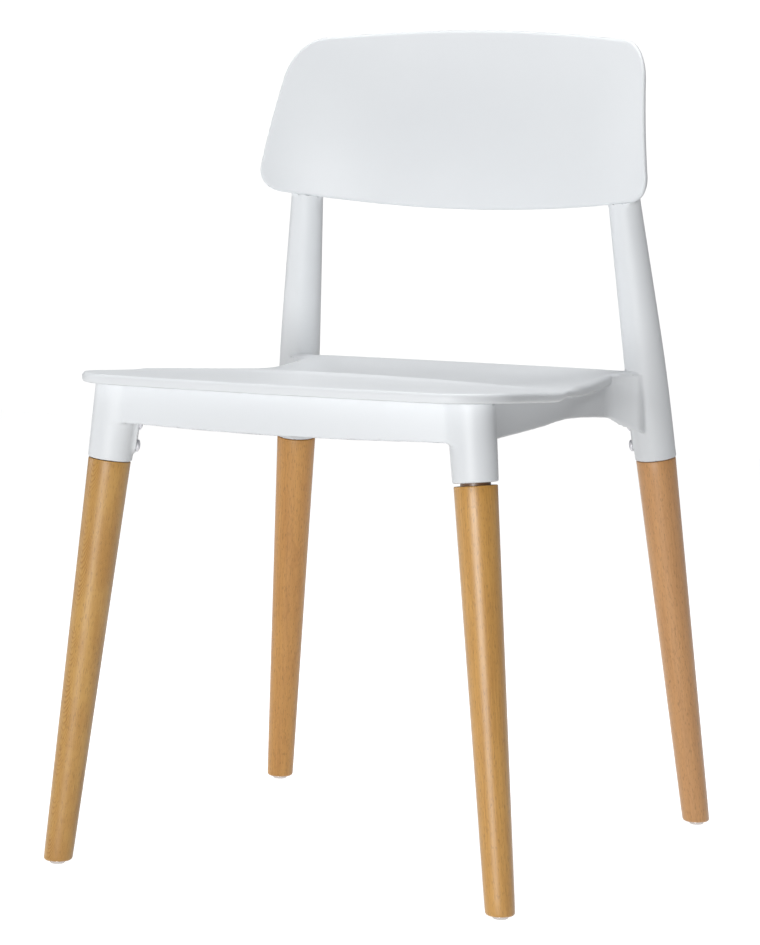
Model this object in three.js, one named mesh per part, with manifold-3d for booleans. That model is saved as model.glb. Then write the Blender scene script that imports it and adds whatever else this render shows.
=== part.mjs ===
// Side chair: a white moulded frame, a separate front seat panel and back panel,
// four turned wooden legs with tenons, metal glides, and the fasteners between them.
// Millimetres, +Z up, the front of the chair towards -Y, the floor at z = 0.

import * as THREE from 'three';
import { mergeVertices } from 'three/addons/utils/BufferGeometryUtils.js';
import Module from 'manifold-3d';

const wasm = await Module();
wasm.setup();

// ---------------------------------------------------------------- driving dimensions

const FIT_GAP = 0.3;                     // clearance wherever two pieces rest on each other
const SLENDER = 0.4;                     // overlap that makes a clean join inside one moulding
const TO_CENTRE = 2;                     // brings the middle of the footprint to the origin

// Leg axes: plan position of the foot on the floor and of the shoulder under the socket
const LEG = {
  front: { foot: [218.6, -226.9], shoulder: [179.0, -210.8], shoulderZ: 370 },
  rear: { foot: [228.2, 243.5], shoulder: [192.7, 194.8], shoulderZ: 361.2 },
};
const LEG_FOOT_RADIUS = 13;
const LEG_SHOULDER_RADIUS = 19.1;
const TENON_RADIUS = 13.4;
const TENON_LENGTH = 58;
const FOOT_ROUND = 3.4;                  // rounding of the wooden foot's edge

// Glides
const GLIDE_RADIUS = 7.3;
const GLIDE_HEIGHT = 3;
const NAIL_RADIUS = 1.3;
const NAIL_LENGTH = 16;

// Sockets and rear posts
const SOCKET_REVEAL = 0.5;               // shoulder to socket end, measured along the leg
const OPEN_REVEAL = 2.6;                 // the front right leg sits this far out of its socket,
const OPEN_DROP = 1.3;                   // and its shoulder this much lower than the others
const SOCKET_END_RADIUS = 19.7;
const FRONT_SOCKET_TOP_RADIUS = 20.9;
const POST_KINK = { at: [181.6, 178.4, 470], radius: 19.4 };
const POST_TOP = { at: [163.4, 152.8, 640], radius: 14.5 };
const POST_TIP = { at: [162, 151.6, 654], radius: 8 };

// Leg bolts, two per leg, driven from the side that faces the middle of the chair
const BOLT_HEIGHTS = [15, 35];           // along the leg, above the socket end
const BOLT_PLAN = [0.906, 0.423];        // plan direction from the leg axis to the head, mirrored
const BOLT_SHANK_RADIUS = 2.9;
const BOLT_HEAD_RADIUS = 5.6;
const BOLT_HEAD_HEIGHT = 2.8;
const BOLT_SEAT = 22;                    // leg axis to the flat that the head clamps on
const BOSS_RADIUS = 6.6;                 // of the moulded pad under the heads
const BOLT_REACH = 17.5;                 // length of the shank under the head
const INSERT_RADIUS = 4.6;
const INSERT_LENGTH = 11;

// Seat
const SEAT_THICKNESS = 8.5;
const SEAT_SKIN = 5;                     // thickness away from the rim
const RIM_ROUND = 3.8;
const SEAT_FRONT_Y = -259.7;
const SEAT_FRONT_BOW = 6;
const SEAT_REAR_Y = 174;
const SEAM_Y = -112;                     // the seam between the two halves, on the centre line
const SEAM_SWEEP = 26;                   // how far its ends lie behind its middle
const SEAM_GAP = 0.4;
const SEAM_STEP = 2.2;                   // the front panel stands this far above the rear half
// [y, half width] of the rim, [y, height] of the rim and of the centre line
const FRONT_WIDTH = [
  [-259.7, 206], [-195, 207], [-150, 208.8], [-118, 211.4], [-104, 212.8], [-84, 213],
];
const FRONT_CORNER = [44, 58];           // plan size of the front panel's big corners
const REAR_WIDTH = [[-84, 207], [-52, 201], [-8, 188], [34, 175], [67, 167], [132, 164]];
const FRONT_RIM_Z = [[-259.7, 449.8], [-212, 448.9], [-170, 446.9], [-116, 444.5], [-84, 444]];
const FRONT_MID_Z = [[-259.7, 449.4], [-225, 449.2], [-170, 448.7], [-130, 449.6], [-112, 450.9]];
const REAR_RIM_Z = [[-112, 443.4], [-52, 441.9], [15, 439.6], [67, 438.4], [132, 442.6], [174, 446.4]];
const REAR_MID_Z = [[-112, 448.6], [-50, 441], [0, 436.8], [50, 435.6], [100, 438.6], [174, 446.8]];

// Aprons: height of the lower edge and thickness of the wall
const APRON_WALL = 5;
const FRONT_APRON = { halfSpan: 168, endY: -225.6, bow: 12.5, bottom: 403.5 };
const SIDE_APRON = [
  // x, y of the outer face and height of the lower edge, front to rear, then out to the post
  [177, -196, 404], [172.3, -77, 405.8], [166.9, 20, 408.6], [162.2, 110, 404.9],
  [161.2, 131, 403.2], [161.8, 138, 402.6], [163.6, 143, 402.1], [167, 147.3, 400.9],
  [172.4, 152, 397.4], [180, 157, 393.1], [186.6, 161, 390.2], [190, 172, 386.5],
];
const REAR_RAIL = { y: 172.6, bottom: 412, halfSpan: 172 };
const SEAM_RAIL = { bottom: 424, front: 13, back: 5, halfSpan: 168 };

// Back panel: a shell that leans back, bows along its edges and wraps forward at its ends
const BACK = {
  bottomZ: 594.7, topZ: 768.2, halfBottom: 204.8, halfTop: 183.6, bottomBow: 15.4, crown: 11.9,
  frontY: 152.2, lean: 9.69, wrap: 36.1, wrapPower: 4.29, sweep: 8.9, hollow: 10.4,
  cornerTop: [20.5, 34.7], cornerBottom: [19.2, 22.4], thickness: 7, edgeRound: 3.1,
};
const PAD = { x: 162, halfWidth: 20, bottomZ: 607, topZ: 706, thickness: 5 };
const PAD_SCREW_Z = [668, 691];

// Panel screws
const SCREW_RADIUS = 2;
const SCREW_HEAD_RADIUS = 4;
const SCREW_HEAD_HEIGHT = 2.6;
const SEAT_SCREW_LENGTH = 9;
const BACK_SCREW_LENGTH = 8.4;
const SEAT_SCREWS = [[86, -211], [150, -137]];   // plan positions, mirrored left to right
const LEDGE = [30, 26, 4];

// Facets
const LEG_SIDES = 20;
const POST_SIDES = 24;
const SMALL_SIDES = 12;

const WHITE = new THREE.MeshStandardMaterial({ color: 0xe9edf0, roughness: 0.55, metalness: 0 });
const BEECH = new THREE.MeshStandardMaterial({ color: 0xcb9a5e, roughness: 0.5, metalness: 0 });
const NICKEL = new THREE.MeshStandardMaterial({ color: 0xc9cac8, roughness: 0.3, metalness: 1 });
const ZINC = new THREE.MeshStandardMaterial({ color: 0xaeb2b6, roughness: 0.35, metalness: 1 });
const BRASS = new THREE.MeshStandardMaterial({ color: 0xb89a55, roughness: 0.4, metalness: 1 });

// ---------------------------------------------------------------- small helpers

const vec = (x, y, z) => new THREE.Vector3(x, y, z);

// Smooth curve through [position, value] knots, by Catmull-Rom tangents
function curve(knots) {
  const slope = (i) => {
    const [a, b] = [knots[Math.max(i - 1, 0)], knots[Math.min(i + 1, knots.length - 1)]];
    return (b[1] - a[1]) / (b[0] - a[0]);
  };
  return (position) => {
    const t = Math.min(Math.max(position, knots[0][0]), knots[knots.length - 1][0]);
    let i = 0;
    while (i < knots.length - 2 && t > knots[i + 1][0]) i += 1;
    const span = knots[i + 1][0] - knots[i][0];
    const s = (t - knots[i][0]) / span;
    const h = s * s * (3 - 2 * s);
    const rise = s * (1 - s) * ((1 - s) * slope(i) - s * slope(i + 1)) * span;
    return knots[i][1] * (1 - h) + knots[i + 1][1] * h + rise;
  };
}

// Closed surface through rings of points; both ends are closed on their middle point
function skin(rings) {
  const count = rings[0].length;
  const points = rings.flat();
  const index = [];
  for (let r = 0; r < rings.length - 1; r += 1) {
    for (let k = 0; k < count; k += 1) {
      const next = (k + 1) % count;
      const [a, b] = [r * count + k, r * count + next];
      index.push(a, b, b + count, a, b + count, a + count);
    }
  }
  for (const [ring, flip] of [[rings[0], true], [rings[rings.length - 1], false]]) {
    const first = flip ? 0 : (rings.length - 1) * count;
    const middle = ring.reduce((sum, p) => sum.add(p), vec(0, 0, 0)).divideScalar(count);
    points.push(middle);
    for (let k = 0; k < count; k += 1) {
      const [a, b] = [first + k, first + ((k + 1) % count)];
      index.push(...(flip ? [points.length - 1, b, a] : [points.length - 1, a, b]));
    }
  }
  const geometry = new THREE.BufferGeometry().setFromPoints(points);
  geometry.setIndex(index);
  return geometry;
}

function toSolid(geometry) {
  const bare = geometry.clone();
  for (const name of ['normal', 'uv']) bare.deleteAttribute(name);
  const merged = mergeVertices(bare, 1e-4);
  const solid = new wasm.Manifold(new wasm.Mesh({
    numProp: 3,
    vertProperties: new Float32Array(merged.attributes.position.array),
    triVerts: new Uint32Array(merged.index.array),
  }));
  return solid;
}

function toGeometry(solid) {
  const mesh = solid.getMesh();
  const geometry = new THREE.BufferGeometry();
  geometry.setAttribute('position', new THREE.BufferAttribute(mesh.vertProperties, 3));
  geometry.setIndex(new THREE.BufferAttribute(mesh.triVerts, 1));
  return geometry;
}

const union = (solids) => solids.reduce((sum, next) => sum.add(next));

// Turned piece on the axis from one point towards another; profile is [radius, distance] pairs
function turned(profile, from, to, sides) {
  const geometry = new THREE.LatheGeometry(profile.map(([r, s]) => new THREE.Vector2(r, s)), sides);
  const turn = new THREE.Quaternion().setFromUnitVectors(vec(0, 1, 0), to.clone().sub(from).normalize());
  return geometry.applyQuaternion(turn).translate(from.x, from.y, from.z);
}

const rod = (radius, from, to, sides) => toSolid(
  turned([[0, 0], [radius, 0], [radius, from.distanceTo(to)], [0, from.distanceTo(to)]], from, to, sides));

function box(size, middle) {
  return toSolid(new THREE.BoxGeometry(...size).translate(...middle));
}

// Round bar through stations of {at, radius}
function limb(stations, sides) {
  const rings = stations.map((station, i) => {
    const [a, b] = [stations[Math.max(i - 1, 0)], stations[Math.min(i + 1, stations.length - 1)]];
    const along = b.at.clone().sub(a.at).normalize();
    const right = vec(0, 1, 0).cross(along).normalize();
    const front = along.clone().cross(right);
    return Array.from({ length: sides }, (_, k) => {
      const angle = (2 * Math.PI * k) / sides;
      return station.at.clone()
        .addScaledVector(right, station.radius * Math.cos(angle))
        .addScaledVector(front, station.radius * Math.sin(angle));
    });
  });
  return toSolid(skin(rings));
}

// Upright wall along plan stations of [x, y, bottom, top]; its thickness goes to the left of the path
function wall(stations, thickness) {
  const rings = stations.map(([x, y, bottom, top], i) => {
    const [a, b] = [stations[Math.max(i - 1, 0)], stations[Math.min(i + 1, stations.length - 1)]];
    const along = vec(b[0] - a[0], b[1] - a[1], 0).normalize();
    const [ix, iy] = [x - along.y * thickness, y + along.x * thickness];
    return [vec(x, y, bottom), vec(ix, iy, bottom), vec(ix, iy, top), vec(x, y, top)];
  });
  return toSolid(skin(rings).toNonIndexed()).asOriginal();
}

const mirrorX = (solid) => solid.mirror([1, 0, 0]);

// ---------------------------------------------------------------- seat surface

const frontWidth = curve(FRONT_WIDTH);
const rearWidth = curve(REAR_WIDTH);
const frontRim = curve(FRONT_RIM_Z);
const frontMid = curve(FRONT_MID_Z);
const rearRim = curve(REAR_RIM_Z);
const rearMid = curve(REAR_MID_Z);
const seamY = (x) => SEAM_Y + SEAM_SWEEP * (x / 212) ** 2;

// Heights are read along lines that run parallel to the seam's sweep, so the crest stays level
function frontHeight(x, y) {
  const across = Math.min(Math.abs(x) / frontWidth(y), 1);
  const swept = y - (seamY(x) - SEAM_Y) * THREE.MathUtils.smoothstep(y, SEAT_FRONT_Y, SEAM_Y);
  return THREE.MathUtils.lerp(frontMid(swept), frontRim(y), across ** 1.9);
}

function rearHeight(x, y) {
  const across = Math.min(Math.abs(x) / rearWidth(y), 1.15);
  return THREE.MathUtils.lerp(rearMid(y), rearRim(y), across ** 2);
}

// Evenly spaced outline points of a shape, running anticlockwise
const outlinePoints = (shape, count) => shape.getSpacedPoints(count).slice(0, count);

function inset(points, distance) {
  return points.map((p, k) => {
    const [a, b] = [points[(k + points.length - 1) % points.length], points[(k + 1) % points.length]];
    const along = b.clone().sub(a).normalize();
    return new THREE.Vector2(p.x - along.y * distance, p.y + along.x * distance);
  });
}

function shrink(points, centre, scale) {
  return points.map((p) => p.clone().sub(centre).multiplyScalar(scale).add(centre));
}

// Seat slab with a rounded rim: rings run from the underside over the rim to the top
function slab(outline, centre, height, rim, middle) {
  const place = (points, drop) => points.map((p) => vec(p.x, p.y, height(p.x, p.y) - drop));
  const bulge = RIM_ROUND * (1 - Math.SQRT1_2);
  const inner = inset(outline, RIM_ROUND);
  const band = shrink(inner, centre, 0.88);
  const rings = [
    place(shrink(inner, centre, 0.3), middle), place(shrink(inner, centre, 0.6), middle),
    place(band, middle), place(shrink(inner, centre, 0.93), rim),
    place(inner, rim), place(inset(outline, bulge), rim - bulge), place(outline, rim - RIM_ROUND),
    place(outline, RIM_ROUND), place(inset(outline, bulge), bulge), place(inner, 0),
    ...[0.82, 0.6, 0.3].map((scale) => place(shrink(inner, centre, scale), 0)),
  ];
  return toSolid(skin(rings));
}

// ---------------------------------------------------------------- seat outlines

const samples = (from, to, steps) => Array.from({ length: steps + 1 },
  (_, i) => from + ((to - from) * i) / steps);

function frontPanelOutline() {
  const shape = new THREE.Shape();
  const frontY = (x) => SEAT_FRONT_Y + SEAT_FRONT_BOW * (x / 190) ** 2;
  const half = frontWidth(SEAT_FRONT_Y);
  const cornerX = half - FRONT_CORNER[0];
  const sideY = SEAT_FRONT_Y + SEAT_FRONT_BOW + FRONT_CORNER[1];
  const seamEnd = 208;
  shape.moveTo(-cornerX, frontY(cornerX));
  for (const x of samples(-120, 120, 4)) shape.lineTo(x, frontY(x));
  shape.lineTo(cornerX, frontY(cornerX));
  shape.quadraticCurveTo(half, frontY(half), frontWidth(sideY), sideY);
  for (const y of [-150, -112, -94]) shape.lineTo(frontWidth(y), y);
  shape.quadraticCurveTo(213, seamY(212), seamEnd, seamY(seamEnd));
  for (const x of samples(190, -190, 12)) shape.lineTo(x, seamY(x));
  shape.lineTo(-seamEnd, seamY(seamEnd));
  shape.quadraticCurveTo(-213, seamY(212), -frontWidth(-94), -94);
  for (const y of [-112, -150, sideY]) shape.lineTo(-frontWidth(y), y);
  shape.quadraticCurveTo(-half, frontY(half), -cornerX, frontY(cornerX));
  return outlinePoints(shape, 76);
}

function rearHalfOutline() {
  const shape = new THREE.Shape();
  const half = rearWidth(-84) - 1;
  const arm = SIDE_APRON.slice(7, 11);
  const front = samples(-half, half, 14);
  shape.moveTo(front[0], seamY(front[0]) + SEAM_GAP);
  for (const x of front.slice(1)) shape.lineTo(x, seamY(x) + SEAM_GAP);
  for (const y of [-70, -40, -8, 34, 67, 100, 132, 143]) shape.lineTo(rearWidth(y), y);
  for (const [x, y] of arm) shape.lineTo(x, y);
  shape.lineTo(184, SEAT_REAR_Y);
  shape.lineTo(-184, SEAT_REAR_Y);
  for (const [x, y] of arm.slice().reverse()) shape.lineTo(-x, y);
  for (const y of [143, 132, 100, 67, 34, -8, -40, -70]) shape.lineTo(-rearWidth(y), y);
  shape.lineTo(front[0], seamY(front[0]) + SEAM_GAP);
  return outlinePoints(shape, 80);
}

// ---------------------------------------------------------------- back panel surface

function backFrontY(x, z) {
  const u = Math.min(Math.abs(x) / BACK.halfBottom, 1);
  const v = (z - BACK.bottomZ) / (BACK.topZ - BACK.bottomZ);
  const lean = Math.tan(THREE.MathUtils.degToRad(BACK.lean)) * (z - BACK.bottomZ);
  const ends = -BACK.wrap * u ** BACK.wrapPower - BACK.sweep * u * u;
  return BACK.frontY + lean + ends + BACK.hollow * (2 * v - 1) ** 2;
}

// Outline in the plane of x and z, anticlockwise as seen from the front
function backOutline(grow) {
  const bottom = (x) => BACK.bottomZ + BACK.bottomBow * (x / BACK.halfBottom) ** 2 - grow;
  const top = (x) => BACK.topZ - BACK.crown * (x / BACK.halfTop) ** 2 + grow;
  const [low, high] = [bottom(BACK.halfBottom), top(BACK.halfTop)];
  const half = (z) => THREE.MathUtils.mapLinear(z, low, high, BACK.halfBottom, BACK.halfTop) + grow;
  const [[tx, tz], [bx, bz]] = [BACK.cornerTop, BACK.cornerBottom];
  const corner = (x, z, rx, rz, from) => samples(from, from + Math.PI / 2, 6)
    .map((a) => new THREE.Vector2(x + rx * Math.cos(a), z + rz * Math.sin(a)));
  const right = [
    ...samples(0, BACK.halfBottom - bx, 6).slice(1, -1).map((x) => new THREE.Vector2(x, bottom(x))),
    ...corner(half(low + bz) - bx, bottom(BACK.halfBottom - bx) + bz, bx, bz, -Math.PI / 2),
    new THREE.Vector2(half((low + high) / 2), (low + high) / 2),
    ...corner(half(high - tz) - tx, top(BACK.halfTop - tx) - tz, tx, tz, 0),
    ...samples(BACK.halfTop - tx, 0, 6).slice(1, -1).map((x) => new THREE.Vector2(x, top(x))),
  ];
  const left = right.slice().reverse().map((p) => new THREE.Vector2(-p.x, p.y));
  const shape = new THREE.Shape([
    new THREE.Vector2(0, bottom(0)), ...right, new THREE.Vector2(0, top(0)), ...left,
  ]);
  return outlinePoints(shape, 72);
}

// Shell between two depths behind the front surface, with a rounded edge
function backShell(outline, front, rear, round) {
  const centre = new THREE.Vector2(0, 682);
  const place = (points, depth) => points.map((p) => vec(p.x, backFrontY(p.x, p.y) + depth, p.y));
  const bulge = round * (1 - Math.SQRT1_2);
  const inner = inset(outline, round);
  const scales = [0.9, 0.75, 0.5, 0.25];
  const rings = [
    ...scales.slice().reverse().map((scale) => place(shrink(inner, centre, scale), rear)),
    place(inner, rear), place(inset(outline, bulge), rear - bulge), place(outline, rear - round),
    place(outline, front + round), place(inset(outline, bulge), front + bulge), place(inner, front),
    ...scales.map((scale) => place(shrink(inner, centre, scale), front)),
  ];
  return toSolid(skin(rings));
}

// ---------------------------------------------------------------- places along the legs

// Everything about one leg: its axis, the socket end and the two bolts
function legPlace(row, side) {
  const { foot, shoulder, shoulderZ } = LEG[row];
  const open = row === 'front' && side > 0;
  const base = vec(side * foot[0], foot[1], 0);
  const top = vec(side * shoulder[0], shoulder[1], shoulderZ - (open ? OPEN_DROP : 0));
  const axis = top.clone().sub(base).normalize();
  const socketEnd = top.clone().addScaledVector(axis, open ? OPEN_REVEAL : SOCKET_REVEAL);
  const inward = vec(-side * BOLT_PLAN[0], row === 'front' ? BOLT_PLAN[1] : -BOLT_PLAN[1], 0);
  inward.addScaledVector(axis, -inward.dot(axis)).normalize();
  const reference = open ? socketEnd.clone().addScaledVector(axis, SOCKET_REVEAL - OPEN_REVEAL) : socketEnd;
  const bolts = BOLT_HEIGHTS.map((h) => reference.clone().addScaledVector(axis, h));
  return { base, top, axis, socketEnd, inward, bolts };
}

const at = (origin, direction, distance) => origin.clone().addScaledVector(direction, distance);

// ---------------------------------------------------------------- frame

function frontSocket(place) {
  const upper = at(place.top, place.axis, 76);
  return limb([
    { at: place.socketEnd, radius: SOCKET_END_RADIUS - 1 },
    { at: at(place.socketEnd, place.axis, 1), radius: SOCKET_END_RADIUS },
    { at: upper, radius: FRONT_SOCKET_TOP_RADIUS },
  ], POST_SIDES);
}

function rearPost(place, side) {
  return limb([
    { at: place.socketEnd, radius: SOCKET_END_RADIUS - 1 },
    { at: at(place.socketEnd, place.axis, 1), radius: SOCKET_END_RADIUS },
    { at: vec(side * POST_KINK.at[0], POST_KINK.at[1], POST_KINK.at[2]), radius: POST_KINK.radius },
    { at: vec(side * POST_TOP.at[0], POST_TOP.at[1], POST_TOP.at[2]), radius: POST_TOP.radius },
    { at: vec(side * POST_TIP.at[0], POST_TIP.at[1], POST_TIP.at[2]), radius: POST_TIP.radius },
  ], POST_SIDES);
}

// Blind bore for the tenon, with the clearance holes for the bolts
function socketCuts(place) {
  const cuts = [rod(TENON_RADIUS + FIT_GAP, at(place.socketEnd, place.axis, -2),
    at(place.top, place.axis, TENON_LENGTH + 1), LEG_SIDES)];
  for (const bolt of place.bolts) {
    cuts.push(rod(BOLT_SHANK_RADIUS + FIT_GAP, bolt, at(bolt, place.inward, BOLT_SEAT + 1), SMALL_SIDES));
  }
  return union(cuts);
}

// Upright pad that carries both heads of a socket, as tall as the gap between the two bolts
function boltBoss(place) {
  const posts = place.bolts.map((bolt) => rod(BOSS_RADIUS, at(bolt, place.inward, 12),
    at(bolt, place.inward, BOLT_SEAT), SMALL_SIDES));
  return wasm.Manifold.hull(posts);
}

function frontApron() {
  const { halfSpan, endY, bow, bottom } = FRONT_APRON;
  const stations = samples(-halfSpan, halfSpan, 12).map((x) => {
    const y = endY - bow * (1 - (x / halfSpan) ** 2);
    return [x, y, bottom, frontHeight(x, y + APRON_WALL / 2) - SEAT_THICKNESS - FIT_GAP];
  });
  return wall(stations, APRON_WALL);
}

function sideApron() {
  const stations = SIDE_APRON.map(([x, y, bottom]) => {
    const inFront = y < seamY(x);
    const top = inFront
      ? frontHeight(x, y) - SEAT_THICKNESS - FIT_GAP
      : rearHeight(x, y) - (y > 128 ? SLENDER : SEAT_SKIN - SLENDER);
    return [x, y, bottom, top];
  });
  const join = stations.findIndex(([x, y]) => y > seamY(x));
  const [before, after] = [stations[join - 1], stations[join]];
  const cross = seamY(170);
  const share = (cross - before[1]) / (after[1] - before[1]);
  const mix = (i) => THREE.MathUtils.lerp(before[i], after[i], share);
  const step = [[cross - 1, before[3] - 2], [cross + 2, before[3] - 1]];
  stations.splice(join, 0, ...step.map(([y, top]) => [mix(0), y, mix(2), top]));
  return wall(stations, APRON_WALL);
}

function rearRail() {
  const { y, bottom, halfSpan } = REAR_RAIL;
  const top = (x) => rearHeight(x, y) - SEAT_THICKNESS / 2;
  return wall(samples(halfSpan, -halfSpan, 8).map((x) => [x, y, bottom, top(x)]), APRON_WALL);
}

// Cross rail under the seam: the front panel's rear edge lands on it
function seamRail() {
  const { bottom, front, back, halfSpan } = SEAM_RAIL;
  const ring = (x) => {
    const [y0, y1] = [seamY(x) - front, seamY(x) + back];
    const top = Math.min(frontHeight(x, y0), frontHeight(x, seamY(x))) - SEAT_THICKNESS - FIT_GAP;
    return [vec(x, y0, bottom), vec(x, y1, bottom), vec(x, y1, top), vec(x, y0, top)];
  };
  return toSolid(skin(samples(-halfSpan, halfSpan, 14).map(ring)));
}

function padShell(side) {
  const { x, halfWidth, bottomZ, topZ, thickness } = PAD;
  const shape = new THREE.Shape();
  const round = 12;
  shape.moveTo(x - halfWidth, bottomZ);
  shape.lineTo(x + halfWidth, bottomZ);
  shape.lineTo(x + halfWidth - 4, topZ - round);
  shape.quadraticCurveTo(x + halfWidth - 4, topZ, x, topZ);
  shape.quadraticCurveTo(x - halfWidth + 2, topZ, x - halfWidth + 2, topZ - round);
  shape.lineTo(x - halfWidth, bottomZ);
  const outline = outlinePoints(shape, 32);
  const front = BACK.thickness + FIT_GAP;
  const place = (depth) => outline.map((p) => vec(p.x, backFrontY(p.x, p.y) + depth, p.y));
  const solid = toSolid(skin([place(front + thickness), place(front)]));
  return side > 0 ? solid : mirrorX(solid);
}

function ledges() {
  const [long, deep, thick] = LEDGE;
  const solids = [];
  for (const side of [-1, 1]) {
    const [[fx, fy], [sx, sy]] = SEAT_SCREWS;
    const frontZ = frontHeight(fx, fy) - SEAT_THICKNESS - FIT_GAP - thick / 2;
    const sideZ = frontHeight(sx, sy) - SEAT_THICKNESS - FIT_GAP - thick / 2 - 0.6;
    solids.push(box([long, deep + 8, thick], [side * fx, fy - 6, frontZ - 0.4]));
    solids.push(box([deep + 14, long, thick], [side * (sx + 5), sy, sideZ]));
  }
  return solids;
}

// A piece together with small shifts of itself: the room that it needs inside the frame
const room = (solid, shifts) => union([solid, ...shifts.map((shift) => solid.translate(shift))]);

function buildFrame(places, frontPanel, backPanel) {
  const centre = new THREE.Vector2(0, 40);
  const rear = slab(rearHalfOutline(), centre, rearHeight, SEAT_THICKNESS, SEAT_SKIN);
  const apron = sideApron();
  const parts = [rear, frontApron(), apron, mirrorX(apron), rearRail(), seamRail(), ...ledges()];
  for (const side of [-1, 1]) {
    parts.push(frontSocket(places[`front_${side}`]));
    parts.push(rearPost(places[`rear_${side}`], side));
    parts.push(padShell(side));
  }
  for (const place of Object.values(places)) parts.push(boltBoss(place));
  let frame = union(parts);
  frame = frame.subtract(backShell(backOutline(FIT_GAP), -60, BACK.thickness / 2, 0.5));
  frame = frame.subtract(room(backPanel, [[0, FIT_GAP, 0], [0, 0, -FIT_GAP]]));
  frame = frame.subtract(room(frontPanel, [[0, 0, -FIT_GAP], [0, SEAM_GAP, 0]]));
  for (const place of Object.values(places)) frame = frame.subtract(socketCuts(place));
  for (const screw of [...seatScrewPlaces(), ...padScrewPlaces()]) {
    frame = frame.subtract(rod(SCREW_RADIUS + FIT_GAP, at(screw.seat, screw.drive, -3),
      at(screw.seat, screw.drive, 9), SMALL_SIDES));
    frame = frame.subtract(rod(SCREW_HEAD_RADIUS + 0.8, screw.seat,
      at(screw.seat, screw.drive, -5), SMALL_SIDES));
  }
  return frame.simplify(0.03);
}

// ---------------------------------------------------------------- fasteners

function seatScrewPlaces() {
  const places = [];
  for (const side of [-1, 1]) {
    for (const [x, y] of SEAT_SCREWS) {
      const under = frontHeight(x, y) - SEAT_THICKNESS - FIT_GAP - LEDGE[2] + 0.6;
      places.push({ seat: vec(side * x, y, under), drive: vec(0, 0, 1) });
    }
  }
  return places;
}

function padScrewPlaces() {
  const places = [];
  for (const side of [-1, 1]) {
    for (const z of PAD_SCREW_Z) {
      const depth = BACK.thickness + FIT_GAP + PAD.thickness;
      const x = side * PAD.x;
      const slopeX = (backFrontY(x + 1, z) - backFrontY(x - 1, z)) / 2;
      const slopeZ = (backFrontY(x, z + 1) - backFrontY(x, z - 1)) / 2;
      const drive = vec(slopeX, -1, slopeZ).normalize();
      places.push({ seat: vec(x, backFrontY(x, z) + depth - 0.5, z), drive });
    }
  }
  return places;
}

function panelScrew({ seat, drive }, length) {
  const head = at(seat, drive, -FIT_GAP);
  const profile = [
    [0, length], [SCREW_RADIUS * 0.5, length], [SCREW_RADIUS, length - 2], [SCREW_RADIUS, 0],
    [SCREW_HEAD_RADIUS, 0], [SCREW_HEAD_RADIUS, -1.2], [SCREW_HEAD_RADIUS * 0.6, -SCREW_HEAD_HEIGHT],
    [0, -SCREW_HEAD_HEIGHT],
  ];
  return toSolid(turned(profile.reverse(), head, at(head, drive, 1), SMALL_SIDES));
}

function legBolt(place, bolt) {
  const seat = at(bolt, place.inward, BOLT_SEAT + FIT_GAP);
  const profile = [
    [0, -BOLT_REACH], [BOLT_SHANK_RADIUS - 0.6, -BOLT_REACH], [BOLT_SHANK_RADIUS, -BOLT_REACH + 0.8],
    [BOLT_SHANK_RADIUS, 0], [BOLT_HEAD_RADIUS, 0], [BOLT_HEAD_RADIUS, 1.1],
    [BOLT_HEAD_RADIUS * 0.82, 2.2], [BOLT_HEAD_RADIUS * 0.5, BOLT_HEAD_HEIGHT], [0, BOLT_HEAD_HEIGHT],
  ];
  const body = toSolid(turned(profile, seat, at(seat, place.inward, 1), 16));
  const hex = rod(2.3, at(seat, place.inward, 1.2), at(seat, place.inward, 6), 6);
  return body.subtract(hex);
}

function threadedInsert(place, bolt) {
  const mouth = TENON_RADIUS - 0.6;
  const bore = BOLT_SHANK_RADIUS + FIT_GAP;
  const profile = [
    [bore, mouth - INSERT_LENGTH], [INSERT_RADIUS, mouth - INSERT_LENGTH],
    [INSERT_RADIUS, mouth], [bore, mouth], [bore, mouth - INSERT_LENGTH],
  ];
  return toSolid(turned(profile, bolt, at(bolt, place.inward, 1), SMALL_SIDES));
}

// ---------------------------------------------------------------- legs and glides

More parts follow.
